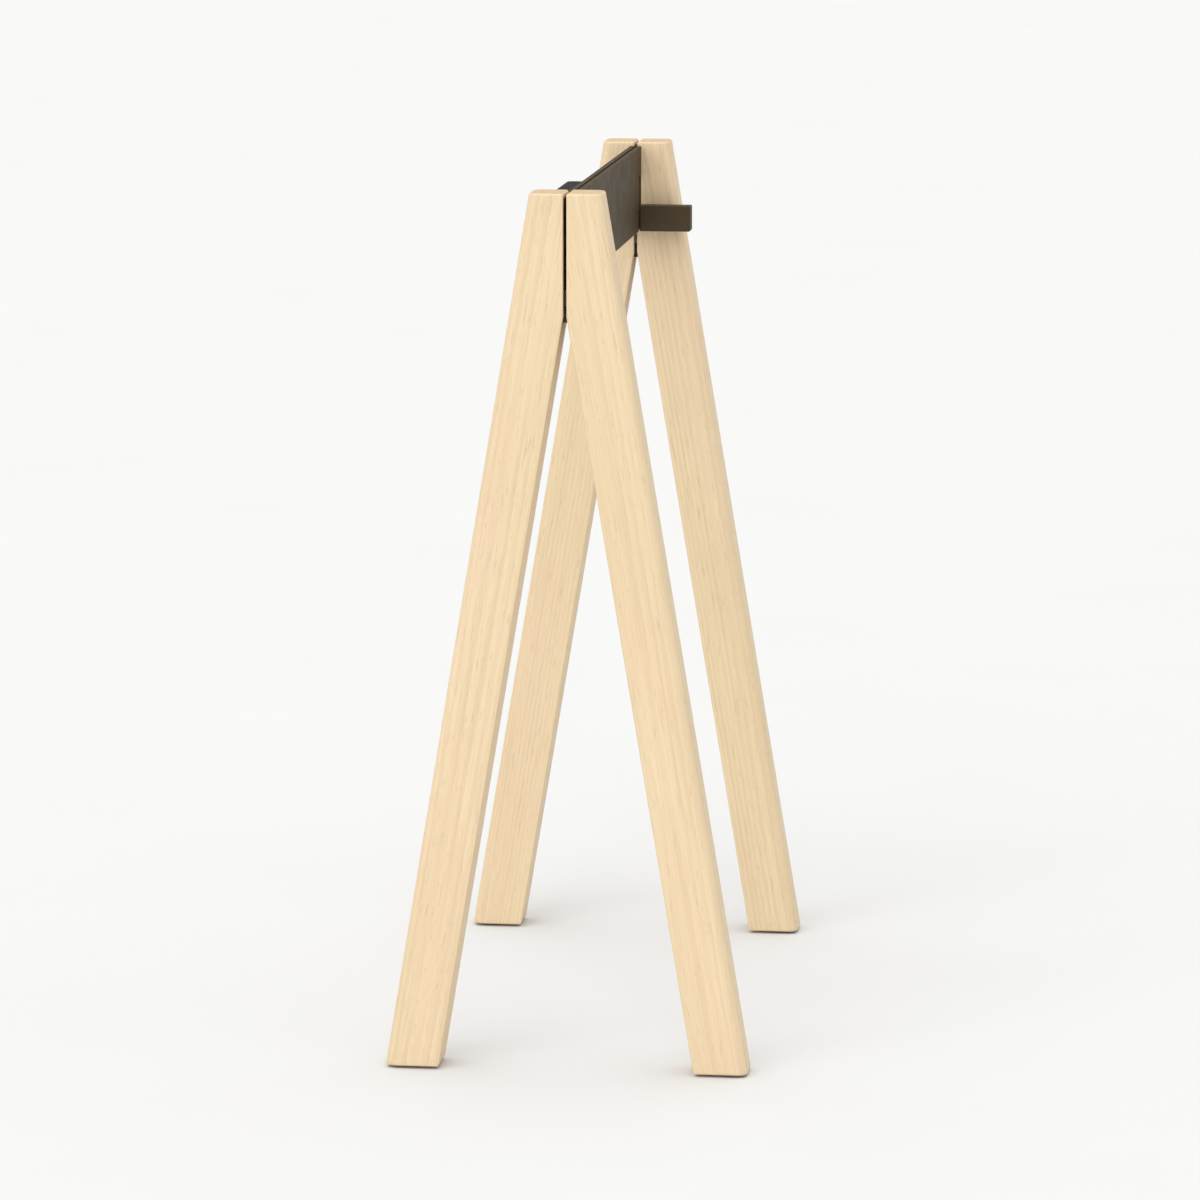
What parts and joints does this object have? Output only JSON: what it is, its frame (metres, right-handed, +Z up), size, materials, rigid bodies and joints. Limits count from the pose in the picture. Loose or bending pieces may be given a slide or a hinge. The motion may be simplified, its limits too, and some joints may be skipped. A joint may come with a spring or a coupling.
{
  "type": "sawhorse",
  "caption": "Folding wooden trestle: two hinged pairs of slanted legs joined by steel spine plates, with a hook latch, a cup carry handle and floor glides, to carry a table top.",
  "frame": {"origin": "on the floor, under the middle of the opened trestle", "axes": "+Z up; X across the trestle, +X to the frame that carries the latch; +Y along it, to the rear end where the latch is"},
  "size_m": [0.2982, 0.5534, 0.72],
  "materials": {
    "pale_wood": "clear matt lacquer on pale straight-grained hardwood",
    "brown_steel": "satin dark brown powder coat",
    "brown_lever": "satin dark brown powder coat",
    "black_plastic": "satin black moulding",
    "dark_plastic": "matt dark grey",
    "zinc_steel": "bright zinc plate",
    "black_steel": "blackened steel",
    "dark_nylon": "matt charcoal nylon",
    "black_rubber": "matt"
  },
  "bodies": {
    "left_frame": {"carry_handle": "black_plastic", "glide_front_left": "dark_plastic", "glide_nail_front_left": "zinc_steel", "glide_nail_rear_left": "zinc_steel", "glide_rear_left": "dark_plastic", "handle_screws": "black_steel", "hinge_leaf_front_left": "black_steel", "hinge_leaf_rear_left": "black_steel", "hinge_pin_front": "black_steel", "hinge_pin_rear": "black_steel", "hinge_washers_front": "dark_nylon", "hinge_washers_rear": "dark_nylon", "leaf_screws_front_left": "black_steel", "leaf_screws_rear_left": "black_steel", "leg_front_left": "pale_wood", "leg_rear_left": "pale_wood", "spine_plate_left": "brown_steel", "spine_screws_front_left": "black_steel", "spine_screws_rear_left": "black_steel", "stop_buffers": "black_rubber"},
    "right_frame": {"glide_front_right": "dark_plastic", "glide_nail_front_right": "zinc_steel", "glide_nail_rear_right": "zinc_steel", "glide_rear_right": "dark_plastic", "hinge_leaf_front_right": "black_steel", "hinge_leaf_rear_right": "black_steel", "latch_pivot_screw": "black_steel", "latch_washer": "dark_nylon", "leaf_screws_front_right": "black_steel", "leaf_screws_rear_right": "black_steel", "leg_front_right": "pale_wood", "leg_rear_right": "pale_wood", "spine_plate_right": "brown_steel", "spine_screws_front_right": "black_steel", "spine_screws_rear_right": "black_steel"},
    "latch": {"latch_cap": "brown_lever", "latch_lever": "brown_lever"}
  },
  "joints": [
    {"name": "fold", "type": "hinge", "parent": "left_frame", "child": "right_frame", "pos_m": [0, 0, 0.6213], "axis": [0, 1, 0], "range_deg": [0, 19]},
    {"name": "latch_lift", "type": "hinge", "parent": "right_frame", "child": "latch", "pos_m": [0.028, 0.2285, 0.653], "axis": [0, 1, 0], "range_deg": [0, 31]}
  ],
  "couplings": [
    {"joint": "latch_lift", "follows": "fold", "ratio": 1.6}
  ]
}
